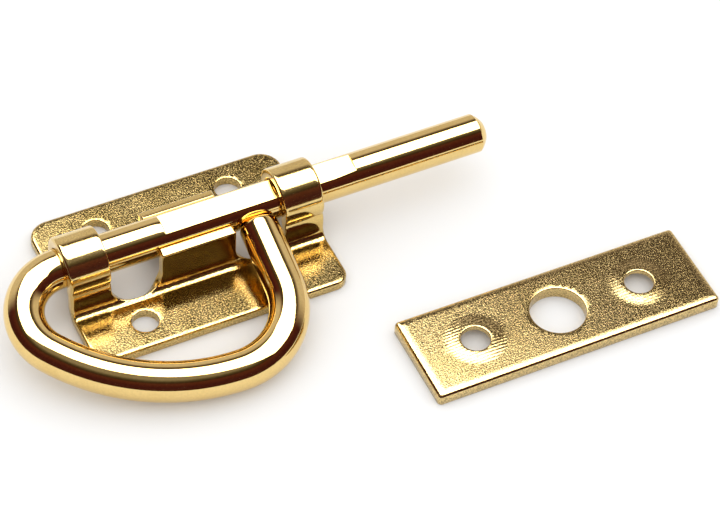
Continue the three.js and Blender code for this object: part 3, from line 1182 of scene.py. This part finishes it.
@dataclass
class Studio:
    """A pale floor, a soft overhead light with darker surroundings, and the camera."""

    azimuth: float = 28.61
    elevation: float = 49.70
    roll: float = 4.0
    distance: float = 943.9
    aim: tuple[float, float, float] = (9.75, 4.81, 0.0)
    lens: float = 158.19
    sensor: float = 36.0
    farthest: float = 20.0  # what the camera still sees, m
    floor_half: float = 400.0
    floor_top: float = -0.05
    floor_white: float = 0.82
    floor_roughness: float = 0.9
    floor_shine: float = 0.2

    def build_camera(self) -> None:
        """Places the camera on a line of the given azimuth and elevation through its aim."""
        az, el, roll = (math.radians(v) for v in (self.azimuth, self.elevation, self.roll))
        ahead = Vector((math.sin(az) * math.cos(el), math.cos(az) * math.cos(el), -math.sin(el)))
        right = Vector((math.cos(az), -math.sin(az), 0))
        up = right.cross(ahead)
        right, up = (
            right * math.cos(roll) + up * math.sin(roll),
            up * math.cos(roll) - right * math.sin(roll),
        )
        data = bpy.data.cameras.new("camera")
        data.lens = self.lens
        data.sensor_width = self.sensor
        data.clip_end = self.farthest
        camera = bpy.data.objects.new("camera", data)
        bpy.context.scene.collection.objects.link(camera)
        place = Matrix((right, up, -ahead)).transposed().to_4x4()
        place.translation = (Vector(self.aim) - ahead * self.distance) * MM
        camera.matrix_world = place
        bpy.context.scene.camera = camera

    def build_floor(self) -> None:
        """Lays a plain pale floor just under the part."""
        h, low = self.floor_half, self.floor_top
        corners = np.array([[-h, -h, low], [h, -h, low], [h, h, low], [-h, h, low]])
        floor = make_object("floor", corners, [np.array([[0, 1, 2, 3]])])
        material = bpy.data.materials.new("floor_paper")
        material.use_nodes = True
        shader = material.node_tree.nodes["Principled BSDF"]
        shader.inputs["Base Color"].default_value = (*[self.floor_white] * 3, 1)
        shader.inputs["Roughness"].default_value = self.floor_roughness
        shader.inputs["Specular IOR Level"].default_value = self.floor_shine
        floor.data.materials.append(material)

    def build_light(self) -> None:
        """Makes the surroundings: a softbox overhead, a pale sweep behind, a dark room."""
        world = bpy.data.worlds.new("studio")
        bpy.context.scene.world = world
        world.use_nodes = True
        background = world.node_tree.nodes["Background"]
        nodes = Nodes(world.node_tree)
        part = nodes.new("SeparateXYZ", Vector=nodes.new("TexCoord").outputs["Generated"]).outputs
        # Directions to the view's right and away from the camera, on the level.
        az = math.radians(self.azimuth)

        def level(x_part: float, y_part: float) -> bpy.types.NodeSocket:
            """The direction's part along one level line."""
            return nodes.worked_out(
                "ADD",
                nodes.worked_out("MULTIPLY", part["X"], x_part),
                nodes.worked_out("MULTIPLY", part["Y"], y_part),
            )

        right = level(math.cos(az), -math.sin(az))
        away = level(math.sin(az), math.cos(az))
        # Where the direction meets a ceiling one unit up.
        z = nodes.worked_out("MAXIMUM", part["Z"], 0.01)
        across = nodes.worked_out("DIVIDE", right, z)
        along = nodes.worked_out("DIVIDE", away, z)
        turned = nodes.worked_out("MULTIPLY", across, SOFTBOX.skew)
        skewed = nodes.worked_out("ADD", along, turned)
        blur = SOFTBOX.blur
        box = None
        for spot, edge, out in (
            (across, SOFTBOX.left, -blur), (across, SOFTBOX.right, blur),
            (along, SOFTBOX.near, -blur), (skewed, SOFTBOX.far, blur),
        ):
            side = nodes.mapped(spot, (edge + out, edge), smooth=True)
            box = side if box is None else nodes.worked_out("MULTIPLY", box, side)
        # The sweep behind the part is pale from the floor up to where it fades into the room.
        sweep = nodes.worked_out(
            "MULTIPLY",
            nodes.mapped(away, SWEEP.side, smooth=True),
            nodes.mapped(part["Z"], SWEEP.rise, smooth=True),
        )
        ramp = nodes.new("ValToRGB", Fac=part["Z"])
        stops = ramp.color_ramp.elements
        lowest, *between, highest = ROOM
        for stop, (height, colour) in zip(stops, (lowest, highest)):
            stop.position = height
            stop.color = (*colour, 1)
        for height, colour in between:
            stops.new(height).color = (*colour, 1)
        room = nodes.mixed(sweep, ramp.outputs["Color"], SWEEP.colour)
        lit = nodes.mixed(box, room, (SOFTBOX.strength,) * 3)
        # Matt surfaces get an even, softer light than the mirror-bright metal sees.
        glossy = nodes.new("LightPath").outputs["Is Glossy Ray"]
        seen = nodes.mixed(glossy, (EVEN_LIGHT,) * 3, lit)
        nodes.put(seen, background.inputs["Color"])

    def build(self) -> None:
        """Builds the camera, the floor and the light."""
        self.build_camera()
        self.build_floor()
        self.build_light()
        bpy.context.scene.view_settings.view_transform = "Standard"


def main() -> None:
    """Builds the latch and its studio."""
    logging.basicConfig(level=logging.INFO, format="%(name)s: %(message)s")
    bracket = Bracket()
    bracket.build()
    Bolt(bracket).build()
    StrikePlate().build()
    Studio().build()


if __name__ == "__main__":
    main()
